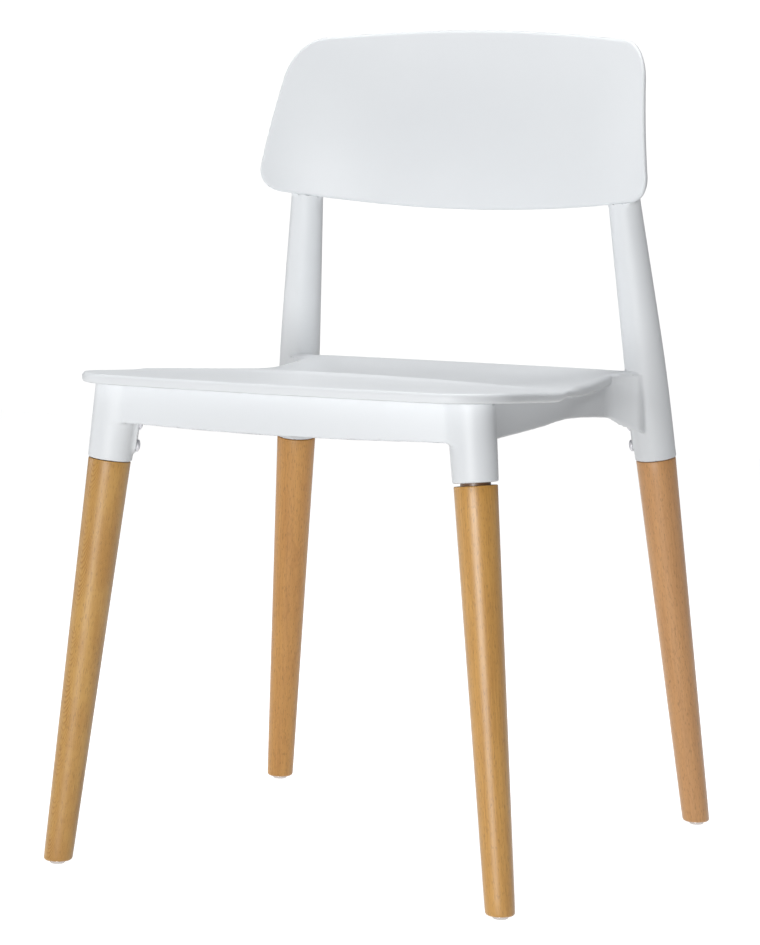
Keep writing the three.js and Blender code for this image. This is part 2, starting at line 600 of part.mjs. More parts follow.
// Cone from shoulder to foot; the foot is cut level with the floor, and its edge is rounded
function legSolid(place) {
  const length = place.base.distanceTo(place.top);
  const right = vec(0, 1, 0).cross(place.axis).normalize();
  const front = place.axis.clone().cross(right);
  const radiusAt = (s) => THREE.MathUtils.mapLinear(s, 0, length, LEG_FOOT_RADIUS, LEG_SHOULDER_RADIUS);
  const ring = (radius, s, level) => Array.from({ length: LEG_SIDES }, (_, k) => {
    const angle = (2 * Math.PI * k) / LEG_SIDES;
    const out = right.clone().multiplyScalar(Math.cos(angle)).addScaledVector(front, Math.sin(angle));
    const point = at(at(place.base, place.axis, s), out, radius);
    if (level !== undefined) point.addScaledVector(place.axis, (level - point.z) / place.axis.z);
    return point;
  });
  const tip = GLIDE_HEIGHT + FIT_GAP;
  const rings = [
    ring(LEG_FOOT_RADIUS - FOOT_ROUND, 3, tip),
    ring(LEG_FOOT_RADIUS - FOOT_ROUND * 0.3, 3, tip + FOOT_ROUND * 0.3),
    ring(LEG_FOOT_RADIUS, 5, tip + FOOT_ROUND),
    ring(radiusAt(60), 60), ring(radiusAt(length / 2), length / 2),
    ring(LEG_SHOULDER_RADIUS, length - 0.8), ring(LEG_SHOULDER_RADIUS - 0.8, length),
    ring(TENON_RADIUS, length), ring(TENON_RADIUS, length + TENON_LENGTH - 2),
    ring(TENON_RADIUS - 2, length + TENON_LENGTH),
  ];
  let leg = toSolid(skin(rings));
  const floor = TENON_RADIUS - INSERT_LENGTH - 1;
  for (const bolt of place.bolts) {
    leg = leg.subtract(rod(INSERT_RADIUS + FIT_GAP, at(bolt, place.inward, floor),
      at(bolt, place.inward, TENON_RADIUS + 6), SMALL_SIDES));
  }
  const foot = vec(place.base.x, place.base.y, 0);
  return leg.subtract(rod(NAIL_RADIUS + FIT_GAP, foot, at(foot, vec(0, 0, 1), NAIL_LENGTH + 2), SMALL_SIDES));
}

function glideSolid(place) {
  const foot = vec(place.base.x, place.base.y, 0);
  const profile = [
    [0, 0], [GLIDE_RADIUS - 1, 0], [GLIDE_RADIUS, 1.2], [GLIDE_RADIUS, GLIDE_HEIGHT],
    [NAIL_RADIUS, GLIDE_HEIGHT], [NAIL_RADIUS, NAIL_LENGTH - 2], [0, NAIL_LENGTH],
  ];
  return toSolid(turned(profile, foot, at(foot, vec(0, 0, 1), 1), 18));
}

// ---------------------------------------------------------------- assembly

const SIDES = { left: -1, right: 1 };
const places = {};
for (const row of ['front', 'rear']) {
  for (const side of [-1, 1]) places[`${row}_${side}`] = legPlace(row, side);
}

const chair = new THREE.Group();

function addPiece(name, solid, material) {
  const mesh = new THREE.Mesh(toGeometry(solid.translate([0, TO_CENTRE, 0])), material);
  mesh.name = name;
  chair.add(mesh);
}

let frontPanel = slab(frontPanelOutline(), new THREE.Vector2(0, -180), frontHeight,
  SEAT_THICKNESS, SEAT_THICKNESS);
let backPanel = backShell(backOutline(0), 0, BACK.thickness, BACK.edgeRound);
addPiece('frame', buildFrame(places, frontPanel, backPanel), WHITE);

seatScrewPlaces().forEach((screw, i) => {
  const side = i < 2 ? 'left' : 'right';
  frontPanel = frontPanel.subtract(rod(SCREW_RADIUS + FIT_GAP, screw.seat,
    at(screw.seat, screw.drive, SEAT_SCREW_LENGTH + 0.6), SMALL_SIDES));
  addPiece(`seat_screw_${side}_${(i % 2) + 1}`, panelScrew(screw, SEAT_SCREW_LENGTH), ZINC);
});
addPiece('seat_front_panel', frontPanel, WHITE);

padScrewPlaces().forEach((screw, i) => {
  const side = i < 2 ? 'left' : 'right';
  backPanel = backPanel.subtract(rod(SCREW_RADIUS + FIT_GAP, screw.seat,
    at(screw.seat, screw.drive, BACK_SCREW_LENGTH + 0.6), SMALL_SIDES));
  addPiece(`back_screw_${side}_${(i % 2) + 1}`, panelScrew(screw, BACK_SCREW_LENGTH), ZINC);
});
addPiece('back_panel', backPanel, WHITE);

for (const row of ['front', 'rear']) {
  for (const [word, side] of Object.entries(SIDES)) {
    const place = places[`${row}_${side}`];
    addPiece(`leg_${row}_${word}`, legSolid(place), BEECH);
    addPiece(`glide_${row}_${word}`, glideSolid(place), NICKEL);
    place.bolts.forEach((bolt, i) => {
      const level = i === 0 ? 'lower' : 'upper';
      addPiece(`leg_bolt_${row}_${word}_${level}`, legBolt(place, bolt), ZINC);
      addPiece(`leg_insert_${row}_${word}_${level}`, threadedInsert(place, bolt), BRASS);
    });
  }
}

export default chair;
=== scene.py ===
"""Looks for the side chair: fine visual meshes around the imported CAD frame, materials, light and camera."""

import math

import bpy
import numpy as np
from mathutils import Matrix, Vector


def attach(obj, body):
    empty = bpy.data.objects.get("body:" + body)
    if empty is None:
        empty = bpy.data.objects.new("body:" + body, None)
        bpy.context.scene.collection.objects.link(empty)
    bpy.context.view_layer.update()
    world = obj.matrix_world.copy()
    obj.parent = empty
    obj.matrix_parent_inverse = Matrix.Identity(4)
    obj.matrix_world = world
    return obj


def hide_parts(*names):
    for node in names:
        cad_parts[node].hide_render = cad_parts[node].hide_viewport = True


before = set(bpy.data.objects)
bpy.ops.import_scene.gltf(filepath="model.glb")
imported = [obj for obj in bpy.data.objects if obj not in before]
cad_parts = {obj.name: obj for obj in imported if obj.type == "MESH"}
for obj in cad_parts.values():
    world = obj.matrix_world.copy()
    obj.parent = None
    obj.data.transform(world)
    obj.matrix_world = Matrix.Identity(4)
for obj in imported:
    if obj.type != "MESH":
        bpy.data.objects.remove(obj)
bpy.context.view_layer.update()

MM = 0.001
TO_CENTRE = 2.0          # mm in y between the shape's own axes and the row frame

# ------------------------------------------------------------------ shape constants, in mm

LEGS = {
    "front": {"foot": (218.6, -226.9), "shoulder": (179.0, -210.8), "z": 370.0},
    "rear": {"foot": (228.2, 243.5), "shoulder": (192.7, 194.8), "z": 361.2},
}
FOOT_R, SHOULDER_R, TENON_R, TENON_LEN = 13.0, 19.1, 13.3, 58.0
BORE_GAP = 0.35
REVEAL, OPEN_REVEAL, OPEN_DROP = 0.5, 2.6, 1.3   # a shoulder's gap, and the wider gap at the front right leg
SOCKET_R0, SOCKET_R1, SOCKET_RISE = 19.95, 21.1, 55   # radii at the lower end and at the rise above it
SOCKET_TILT, POST_TILT = 0.994, 0.986            # cosines of the tilt from the vertical
POST_TIP_Z = 655
BOLT_SEAT = {"front": 22.4, "rear": 21.0}        # from the leg's axis
BOLT_LIFT = 0.2                                  # of a head over its seat
BOLT_AIM = (0.906, 0.423)                        # the bolts point at the middle of the chair
BOLT_LEVELS = (15, 35)
BOLT = {"head_r": 5.6, "head_h": 2.8, "shank_r": 2.9, "shank_len": 17, "hex_r": 2.3}
BOSS = {"half": 7.2, "flare": 0.2, "low": 17.8, "high": 60, "edge": 0.9}     # low and high are along the leg
POST_BOSS_TOP_Z = 430

SEAT_FRONT_Y, SEAT_FRONT_BOW = -259.7, 6.0
FRONT_CORNER = (44, 58)                          # along x and along y
FRONT_CURL = 1.9                                 # power of the fall from the middle to the rim
SEAM_Y, SEAM_SWEEP, SEAM_HALF, SEAM_GAP = -112.0, 26.0, 212, 0.5
SEAT_REAR_Y = 174.0
PANEL_T, REAR_T, PANEL_GAP = 8.8, 5, 0.35

# radii of the frame's edges, and the widths over which its parts blend
EDGE = {"socket": 1.6, "wall": 1.5, "rail": 1.2, "slab": 1.0, "pad": 1.5, "tip": 4, "rear": 4}
BLEND = {"nose": 5.5, "wall": 5, "boss": 3, "rail": 3, "post": 2.4, "slab": 0.4}

WALL = 4.6
WALL_ENDS = (-212, 176)
APRON_Y, APRON_BOW, APRON_HALF = -225.6, 12.5, 168
RAIL_HALF = 172                                  # half length of the front apron and of the rear rail
REAR_RAIL_Y, REAR_RAIL_Z = (168, 172.6), 412
CROSS_HALF, CROSS_Y, CROSS_Z = 170, (-13, 5), 424   # the rail under the seam; its y is from the seam
ARM_LEAN = 1.6                                   # the arms lean inward towards their tops

PAD = {"x": 161, "half_x": 19, "z": 655, "half_z": 51, "level": 650, "lean": 0.05, "half_t": 2.6, "corner": 12}
BACK_JOINT_Z = 560                               # nothing of the back panel or its pads is below this

BACK = {"z0": 594.7, "z1": 768.2, "hw0": 204.8, "hw1": 183.6, "bow": 15.4, "crown": 11.9, "y": 152.2,
        "lean": 9.69, "wrap": 36.1, "power": 4.29, "sweep": 8.9, "hollow": 10.4, "t": 6.6,
        "top_corner": (26.4, 34.7), "low_corner": (24.96, 22.4), "edge": 3.1,
        "side_low": 15, "side_high": 12}         # the half widths are met this far from the two edges


def curve(knots):
    """Smooth curve through (position, value) knots."""
    k = np.array(knots, float)
    xs, ys = k[:, 0], k[:, 1]
    slope = np.gradient(ys, xs)
    slope[1:-1] = (ys[2:] - ys[:-2]) / (xs[2:] - xs[:-2])

    def at(p):
        t = np.clip(p, xs[0], xs[-1])
        i = np.clip(np.searchsorted(xs, t, side="right") - 1, 0, len(xs) - 2)
        span = xs[i + 1] - xs[i]
        s = (t - xs[i]) / span
        h = s * s * (3 - 2 * s)
        bend = s * (1 - s) * ((1 - s) * slope[i] - s * slope[i + 1]) * span
        return ys[i] * (1 - h) + ys[i + 1] * h + bend

    return at


front_width = curve([(-262, 206), (-195, 207), (-150, 208.8), (-118, 211.4), (-104, 212.8), (-92, 213),
                     (-76, 212.6)])
front_rim = curve([(-262, 449.8), (-212, 448.9), (-170, 446.9), (-116, 444.3), (-84, 443.6)])
front_mid = curve([(-262, 449.2), (-225, 449.1), (-170, 448.6), (-140, 448.7), (-128, 449.2),
                   (-119, 450.5), (-114, 451.3), (-100, 451.4)])
slab_width = curve([(-90, 208.5), (-76.7, 205.2), (-52, 202), (-31.7, 196), (-11.7, 190), (6.3, 184),
                    (25.3, 178), (43.8, 172.2), (67, 166.8), (88, 165.2), (120, 163.7), (140, 164.4),
                    (180, 166)])
slab_edge = curve([(-90, 6.0), (-60, 6.2), (-30, 6.8), (0, 7.6), (30, 8.8), (60, 9.6), (90, 10.4),
                   (120, 10.6), (140, 9.6)])
apron_x = curve([(-215, 177.8), (-196, 177), (-77, 172.0), (20, 166.6), (60, 163.8), (88, 162.3),
                 (118, 161.1), (131, 160.9), (137, 161.4), (142, 163.1), (147, 166.7), (152, 172.4),
                 (157, 180), (161, 186.6), (166, 189.4), (172, 190.2), (180, 190.4)])
apron_low = curve([(-215, 403.4), (-156, 404.4), (-120, 405), (-80, 405.8), (-34, 406.6), (-20, 407.4),
                   (-6, 408), (8, 408.4), (22, 408.6), (37, 408.5), (53, 407.8), (74, 406.9), (97, 405.5),
                   (119, 404.1), (134, 402.9), (142, 402.3), (145.5, 401.7), (147.1, 401), (150, 399),
                   (153.6, 395.9), (157.8, 392.5), (162.4, 389.4), (172, 386.5), (180, 385)])
rear_rim = curve([(-112, 444), (-52, 442.4), (15, 440), (67, 438.4), (88, 438.8), (132, 442.4),
                  (174, 446.4)])
rear_mid = curve([(-112, 447.6), (-100, 446.6), (-50, 441), (0, 436.8), (50, 435.6), (100, 438.6),
                  (174, 446.8)])
post_x = curve([(340, 194.8), (361.2, 192.7), (470, 181.8), (620, 165.7), (660, 161.8)])
post_y = curve([(340, 197.7), (361.2, 194.8), (470, 178.7), (620, 155.9), (660, 151)])
post_r = curve([(340, 19.9), (366, 19.95), (420, 20.1), (470, 19.4), (620, 15.1), (640, 14.6),
                (652, 12), (660, 6)])


def smooth(a, b, p):
    t = np.clip((p - a) / (b - a), 0, 1)
    return t * t * (3 - 2 * t)


def slope_of(f, p):
    return f(p + 0.5) - f(p - 0.5)


def beyond(width, x, y):
    """Distance outside a half width that changes along y."""
    return (np.abs(x) - width(y)) / np.hypot(1, slope_of(width, y))


def round_max(a, b, r):
    """Intersection of two distances, with an edge of radius r."""
    return np.minimum(np.maximum(a, b), -r) + np.hypot(np.maximum(a + r, 0), np.maximum(b + r, 0))


def smooth_min(a, b, k):
    """Union of two distances, with a fillet of about half of k."""
    h = np.clip(0.5 + 0.5 * (b - a) / k, 0, 1)
    return b + (a - b) * h - k * h * (1 - h)


def seam_y(x):
    return SEAM_Y + SEAM_SWEEP * (x / SEAM_HALF) ** 2


def seam_stretch(x):
    return np.hypot(1, 2 * SEAM_SWEEP * x / SEAM_HALF ** 2)


def rear_width(y):
    """Half width of the rear half of the seat: its slab, or the aprons and arms where those are wider."""
    return np.maximum(slab_width(y), apron_x(y))


def front_height(x, y):
    across = np.minimum(np.abs(x) / front_width(y), 1)
    swept = y - (seam_y(x) - SEAM_Y) * smooth(SEAT_FRONT_Y, SEAM_Y, y)
    return front_mid(swept) + (front_rim(y) - front_mid(swept)) * across ** FRONT_CURL


def rear_height(x, y):
    # the width is held where the arms begin, and the curve runs on a little past the rim
    across = np.minimum(np.abs(x) / rear_width(np.minimum(y, 134)), 1.12)
    return rear_mid(y) + (rear_rim(y) - rear_mid(y)) * across ** 2


# ------------------------------------------------------------------ meshing of a distance field

def surface_net(field, lo, step):
    """Vertices and quads of the zero surface of a sampled field (naive surface nets)."""
    _, ny, nz = field.shape
    inside = field < 0
    cells, points, quads = [], [], []
    offsets = {0: ((0, 0, 0), (0, -1, 0), (0, -1, -1), (0, 0, -1)),
               1: ((0, 0, 0), (0, 0, -1), (-1, 0, -1), (-1, 0, 0)),
               2: ((0, 0, 0), (-1, 0, 0), (-1, -1, 0), (0, -1, 0))}
    for axis in range(3):
        head = [slice(None)] * 3
        tail = [slice(None)] * 3
        head[axis], tail[axis] = slice(0, -1), slice(1, None)
        head, tail = tuple(head), tuple(tail)
        i, j, k = np.nonzero(inside[head] != inside[tail])
        a, b = field[head][i, j, k], field[tail][i, j, k]
        at = np.stack([i, j, k], 1).astype(float)
        at[:, axis] += a / (a - b)
        four = [(i + o[0]) * ny * nz + (j + o[1]) * nz + (k + o[2]) for o in offsets[axis]]
        turn = a > 0
        ring = np.stack(four, 1)
        ring[turn] = ring[turn][:, ::-1]
        quads.append(ring)
        for c in four:
            cells.append(c)
            points.append(at)
    cells, points, quads = np.concatenate(cells), np.concatenate(points), np.concatenate(quads)
    ids, where = np.unique(cells, return_inverse=True)
    count = np.bincount(where)
    verts = np.stack([np.bincount(where, points[:, c]) / count for c in range(3)], 1)
    faces = np.searchsorted(ids, quads)
    return verts * step + np.array(lo), faces


def gradient(sdf, v, e=0.05):
    out = np.empty_like(v)
    for c in range(3):
        d = np.zeros(3)
        d[c] = e
        hi, low = v + d, v - d
        out[:, c] = sdf(hi[:, 0], hi[:, 1], hi[:, 2]) - sdf(low[:, 0], low[:, 1], low[:, 2])
    return out / (2 * e)


def mesh_field(name, sdf, plan, lo, hi, step, blocks=None):
    """Object from a distance field, which is sampled level by level and netted.

    Every vertex is then moved onto the surface. A plan holds what depends on x and y only, and blocks are the
    boxes (x0, x1, y0, y1, z0, z1) that are worth sampling."""
    axes = [np.arange(lo[c], hi[c] + step, step) for c in range(3)]
    gx, gy = np.meshgrid(axes[0], axes[1], indexing="ij")
    field = np.full((len(axes[0]), len(axes[1]), len(axes[2])), 9.0, np.float32)
    whole = plan(gx, gy) if plan else {}
    for k, z in enumerate(axes[2]):
        for x0, x1, y0, y1, z0, z1 in blocks or [(-1e9, 1e9, -1e9, 1e9, -1e9, 1e9)]:
            if not z0 <= z < z1:
                continue
            sx = slice(*np.searchsorted(axes[0], (x0, x1)))
            sy = slice(*np.searchsorted(axes[1], (y0, y1)))
            part = {key: value[sx, sy] for key, value in whole.items()}
            field[sx, sy, k] = sdf(gx[sx, sy], gy[sx, sy], z, part)
    verts, faces = surface_net(field, lo, step)
    for _ in range(3):
        g = gradient(sdf, verts)
        size = np.maximum((g * g).sum(1), 0.25)
        d = sdf(verts[:, 0], verts[:, 1], verts[:, 2])
        move = g * (np.clip(d, -step, step) / size)[:, None]
        verts = verts - 0.9 * move
    normals = gradient(sdf, verts, 0.2)
    normals /= np.maximum(np.linalg.norm(normals, axis=1, keepdims=True), 1e-9)
    verts[:, 1] += TO_CENTRE
    return new_object(name, verts * MM, faces, normals)


def new_object(name, verts, faces, normals):
    mesh = bpy.data.meshes.new(name)
    mesh.vertices.add(len(verts))
    mesh.vertices.foreach_set("co", np.asarray(verts, np.float32).ravel())
    mesh.loops.add(faces.size)
    mesh.loops.foreach_set("vertex_index", faces.astype(np.int32).ravel())
    mesh.polygons.add(len(faces))
    mesh.polygons.foreach_set("loop_start", np.arange(0, faces.size, faces.shape[1], dtype=np.int32))
    mesh.update(calc_edges=True)
    mesh.validate()
    mesh.shade_smooth()
    mesh.normals_split_custom_set_from_vertices(normals.tolist())
    obj = bpy.data.objects.new(name, mesh)
    bpy.context.scene.collection.objects.link(obj)
    return obj


# ------------------------------------------------------------------ back panel field

def back_face(x, z):
    """Depth of the panel's front face and the two slopes of it."""
    tall, lean = BACK["z1"] - BACK["z0"], math.tan(math.radians(BACK["lean"]))
    u = np.minimum(np.abs(x) / BACK["hw0"], 1.06)
    v = (z - BACK["z0"]) / tall
    y = BACK["y"] + lean * (z - BACK["z0"])
    y = y - BACK["wrap"] * u ** BACK["power"] - BACK["sweep"] * u * u + BACK["hollow"] * (2 * v - 1) ** 2
    dx = (BACK["wrap"] * BACK["power"] * u ** (BACK["power"] - 1) + 2 * BACK["sweep"] * u) / BACK["hw0"]
    dz = lean + 4 * BACK["hollow"] * (2 * v - 1) / tall
    return y, dx, dz


def corner(a, b, ra, rb):
    """Distance to a corner of two edges, rounded by an ellipse of ra by rb."""
    p, q = np.maximum(a / ra + 1, 0), np.maximum(b / rb + 1, 0)
    n = np.maximum(np.hypot(p, q), 1e-9)
    steep = np.maximum(np.hypot(p / n / ra, q / n / rb), 1e-9)
    return np.where((p > 0) | (q > 0), (n - 1) / steep, np.maximum(a, b))


def back_outline(x, z, dx):
    ax = np.abs(x)
    low = BACK["z0"] + BACK["bow"] * (x / BACK["hw0"]) ** 2
    high = BACK["z1"] - BACK["crown"] * (x / BACK["hw1"]) ** 2
    tall = BACK["z1"] - BACK["z0"]
    run = tall - (BACK["side_low"] + BACK["side_high"])
    half = BACK["hw0"] + (z - BACK["z0"] - BACK["side_low"]) * (BACK["hw1"] - BACK["hw0"]) / run
    stretch = np.hypot(1, dx)
    side = (ax - half) * stretch
    return np.maximum(corner(side, z - high, *BACK["top_corner"]), corner(side, low - z, *BACK["low_corner"]))


def back_sdf(x, y, z, part=None):
    face, dx, dz = back_face(x, z)
    scale = 1 / np.sqrt(1 + dx * dx + dz * dz)
    front = (face - y) * scale
    out = back_outline(x, z, dx)
    return round_max(out, np.maximum(front, -front - BACK["t"]), BACK["edge"])


# ------------------------------------------------------------------ frame field

def leg_line(row, side):
    """Foot, shoulder and axis of a leg. The front right leg stands a little out of its socket."""
    leg = LEGS[row]
    foot = np.array([side * leg["foot"][0], leg["foot"][1], 0.0])
    opened = row == "front" and side > 0
    top = np.array([side * leg["shoulder"][0], leg["shoulder"][1], leg["z"] - (OPEN_DROP if opened else 0)])
    return foot, top, (top - foot) / np.linalg.norm(top - foot)


def bolt_places(row, side):
    """Where a leg's bolts cross its axis, and the direction in which they point out of it."""
    _, top, axis = leg_line(row, side)
    inward = np.array([-side * BOLT_AIM[0], BOLT_AIM[1] if row == "front" else -BOLT_AIM[1], 0.0])
    inward = inward - axis * inward.dot(axis)
    inward /= np.linalg.norm(inward)
    base = top + axis * REVEAL
    return [base + axis * h for h in BOLT_LEVELS], inward


def seat_front_plan(x, y):
    side = beyond(front_width, x, y)
    front = SEAT_FRONT_Y + SEAT_FRONT_BOW * (x / 190) ** 2 - y
    seam = (y - seam_y(x)) / seam_stretch(x)
    out = np.maximum(corner(side, front, *FRONT_CORNER), corner(side, seam, 5, 5))
    # thinner and with a tighter edge at the bead along the seam
    return {"out": out, "h": front_height(x, y), "t": PANEL_T - 3.2 * smooth(-26, -1, seam) ** 2,
            "round": 3.6 - 2.2 * smooth(-14, -4, seam), "under": 1.1 + 2.0 * smooth(140, 195, np.abs(x))}


def seat_front_sdf(x, y, z, part=None):
    p = part or seat_front_plan(x, y)
    upper = round_max(p["out"], z - p["h"], p["round"])
    return np.maximum(upper, round_max(p["out"], p["h"] - p["t"] - z, p["under"]))


def frame_plan(x, y):
    ax = np.abs(x)
    side = beyond(rear_width, x, y)
    seam = (seam_y(x) + SEAM_GAP - y) / seam_stretch(x)
    out = round_max(round_max(side, seam, 1), y - SEAT_REAR_Y, EDGE["rear"])
    outer = beyond(apron_x, x, y)
    fy = APRON_Y - APRON_BOW * (1 - (x / APRON_HALF) ** 2)
    fn = np.hypot(1, 2 * APRON_BOW * x / APRON_HALF ** 2)
    front = np.maximum(np.maximum((fy - y) / fn, (y - fy - WALL) / fn), ax - RAIL_HALF)
    rail = np.maximum(np.maximum(y - REAR_RAIL_Y[1], REAR_RAIL_Y[0] - y), ax - RAIL_HALF)
    cross = np.maximum(np.maximum(seam_y(x) + CROSS_Y[0] - y, y - seam_y(x) - CROSS_Y[1]), ax - CROSS_HALF)
    return {
        "out": out,                                  # outside the slab of the rear half
        "outer": outer, "inner": -outer - WALL,      # outside the side walls, and inside them
        "ends": np.maximum(WALL_ENDS[0] - y, y - WALL_ENDS[1]),
        "front": front, "rail": rail, "cross": cross,
        "lip": 403.1 + 1.6 * np.minimum((x / 130) ** 2, 1),      # lower edge of the front apron
        "low": apron_low(y),                         # lower edge of the side aprons and arms
        "arm": smooth(139, 156, y) * smooth(135, 160, ax),       # 1 on the arms
        "hf": front_height(x, y), "hr": rear_height(x, y), "ahead": y < seam_y(x),
        "round": 2.6 + 2.4 * smooth(-70, 30, y),
        "thick": REAR_T + (slab_edge(y) - REAR_T) * smooth(-20, -9, out),
    }


def leg_axis(row, x, y, z):
    """Distance along a leg's axis from its shoulder, and where the axis is at the level z; for |x|."""
    _, top, axis = leg_line(row, 1)
    run = (z - top[2]) / axis[2]
    along = (np.abs(x) - top[0]) * axis[0] + (y - top[1]) * axis[1] + (z - top[2]) * axis[2]
    return along, top[0] + axis[0] * run, top[1] + axis[1] * run


def bar(x, y, cx, cy, r, tilt):
    """Distance to a leaning round bar, from its centre and radius at this level."""
    return (np.hypot(np.abs(x) - cx, y - cy) - r) * tilt


def boss(row, x, y, z):
    """Upright pad on a socket that carries the heads of its two bolts, with a round lower end."""
    _, top, axis = leg_line(row, 1)
    _, inward = bolt_places(row, 1)
    across = np.cross(axis, inward)
    dx, dy, dz = np.abs(x) - top[0], y - top[1], z - top[2]
    out = dx * inward[0] + dy * inward[1] + dz * inward[2]
    wide = dx * across[0] + dy * across[1] + dz * across[2]
    up = dx * axis[0] + dy * axis[1] + dz * axis[2]
    half = BOSS["half"] + BOSS["flare"] * (BOLT_SEAT[row] - out)
    sides = np.hypot(wide, np.minimum(up - BOSS["low"], 0)) - half
    column = np.maximum(sides, np.maximum(up - BOSS["high"], -out))
    return round_max(column, out - BOLT_SEAT[row], BOSS["edge"])


def front_sockets(x, y, z):
    """The front sockets with their bolt pads, and the bores for the tenons."""
    along, cx, cy = leg_axis("front", x, y, z)
    start = np.where(x > 0, OPEN_REVEAL, REVEAL + OPEN_DROP)
    r = SOCKET_R0 + (SOCKET_R1 - SOCKET_R0) * np.clip(along / SOCKET_RISE, 0, 1.4)
    socket = round_max(bar(x, y, cx, cy, r, SOCKET_TILT), start - along, EDGE["socket"])
    bore = np.maximum(bar(x, y, cx, cy, TENON_R + BORE_GAP, SOCKET_TILT), along - TENON_LEN - 1)
    return smooth_min(socket, boss("front", x, y, z), BLEND["boss"]), bore


def rear_posts(x, y, z):
    """The rear sockets, which run up into the posts, with their bolt pads, and the bores for the tenons."""
    along, cx, cy = leg_axis("rear", x, y, z)
    post = bar(x, y, post_x(z), post_y(z), post_r(z), POST_TILT)
    post = round_max(round_max(post, REVEAL - along, EDGE["socket"]), z - POST_TIP_Z, EDGE["tip"])
    bore = np.maximum(bar(x, y, cx, cy, TENON_R + BORE_GAP, POST_TILT), along - TENON_LEN - 1)
    return smooth_min(post, np.maximum(boss("rear", x, y, z), z - POST_BOSS_TOP_Z), BLEND["boss"]), bore


def join_back(d, x, y, z):
    """Adds the pads behind the back panel, and takes away the room that the panel fills."""
    face, dx, dz = back_face(x, z)
    depth = (y - face) / np.sqrt(1 + dx * dx + dz * dz)
    wide = np.abs(np.abs(x) - PAD["x"] + (z - PAD["level"]) * PAD["lean"]) - PAD["half_x"]
    pad = round_max(round_max(wide, np.abs(z - PAD["z"]) - PAD["half_z"], PAD["corner"]),
                    np.abs(depth - BACK["t"] - PAD["half_t"]) - PAD["half_t"], EDGE["pad"])
    # the post swells into the pad over the panel's lower edge, and less so higher up
    blend = 9 * smooth(586, 616, z) * (1 - 0.6 * smooth(640, 658, z)) + 0.1
    d = np.where(z > BACK_JOINT_Z, smooth_min(d, pad, blend), d)
    return np.maximum(d, -np.maximum(back_outline(x, z, dx) + 0.6, depth - BACK["t"] - 0.3))


def frame_sdf(x, y, z, part=None):
    p = part or frame_plan(x, y)
    z = np.asarray(z, float)
    under = p["hf"] - PANEL_T - PANEL_GAP            # the front panel rests on what is cut off here
    high = np.where(p["ahead"], under, p["hr"] - 2)
    lean = ARM_LEAN * p["arm"] * np.maximum((z - 400) / 45, 0) ** 2
    out = p["out"] + lean
    slab = np.maximum(round_max(out, z - p["hr"], p["round"]),
                      round_max(out, p["hr"] - p["thick"] - z, EDGE["slab"]))
    wall = np.maximum(np.maximum(p["outer"] + lean, p["inner"] - lean), p["ends"])
    wall = np.maximum(round_max(wall, p["low"] - z, EDGE["wall"]), z - high)
    socket, bore_front = front_sockets(x, y, z)
    nose = smooth_min(round_max(p["front"], p["lip"] - z, EDGE["rail"]), socket, BLEND["nose"])
    nose = smooth_min(nose, wall, BLEND["wall"])
    nose = np.where(p["ahead"], np.maximum(nose, z - under), nose)
    post, bore_rear = rear_posts(x, y, z)
    rail = np.maximum(round_max(p["rail"], REAR_RAIL_Z - z, EDGE["rail"]), z - p["hr"] + 2)
    cross = np.maximum(np.maximum(p["cross"], CROSS_Z - z), z - under)
    d = smooth_min(slab, np.minimum(nose, wall), BLEND["slab"])
    d = smooth_min(d, post, BLEND["post"])
    d = smooth_min(d, rail, BLEND["rail"])
    d = np.minimum(d, cross)
    d = np.maximum(d, -np.minimum(bore_front, bore_rear))
    return join_back(d, x, y, z) if np.max(z) > BACK_JOINT_Z else d


# ------------------------------------------------------------------ turned pieces

LEG_SIDES, GLIDE_SIDES, BOLT_SIDES = 72, 48, 48
FOOT_RINGS = ((-4.2, 3.2), (-2.6, 3.2), (-1.5, 3.5), (-0.7, 4.1), (-0.2, 5.0), (0.0, 6.2))
GLIDE_PROFILE = [(0, 0), (5.2, 0), (6.2, 0.2), (6.9, 0.8), (7.15, 1.5), (7.2, 2.2), (7.1, 2.8), (6.8, 3.0),
                 (1.3, 3.0), (1.3, 14), (0, 16)]


def lathe(name, profile, sides, origin, axis):
    """Turned piece along its own Z. The profile is (radius, height) upwards, with both ends on the axis."""
    angles = np.linspace(0, 2 * math.pi, sides, endpoint=False)
    verts = [(0, 0, profile[0][1])]
    for r, h in profile[1:-1]:
        verts += [(r * math.cos(a), r * math.sin(a), h) for a in angles]
    verts.append((0, 0, profile[-1][1]))
    return place(name, verts, ring_faces(len(profile) - 2, sides), origin, axis)


def ring_faces(rings, sides):
    faces = []
    last = rings * sides + 1
    for k in range(sides):
        n = (k + 1) % sides
        faces.append((0, 1 + n, 1 + k))
        for r in range(rings - 1):
            a, b = 1 + r * sides + k, 1 + r * sides + n
            faces.append((a, b, b + sides, a + sides))
        faces.append((last, last - sides + k, last - sides + n))
    return faces


def place(name, verts, faces, origin, axis, twist=0.0):
    mesh = bpy.data.meshes.new(name)
    mesh.from_pydata([Vector(v) * MM for v in verts], [], faces)
    mesh.shade_smooth()
    mesh.set_sharp_from_angle(angle=math.radians(35))
    obj = bpy.data.objects.new(name, mesh)
    turn = Vector((0, 0, 1)).rotation_difference(Vector(axis)).to_matrix().to_4x4()
    o = Vector(origin) + Vector((0, TO_CENTRE, 0))
    obj.matrix_world = Matrix.Translation(o * MM) @ turn @ Matrix.Rotation(twist, 4, "Z")
    bpy.context.scene.collection.objects.link(obj)
    return obj


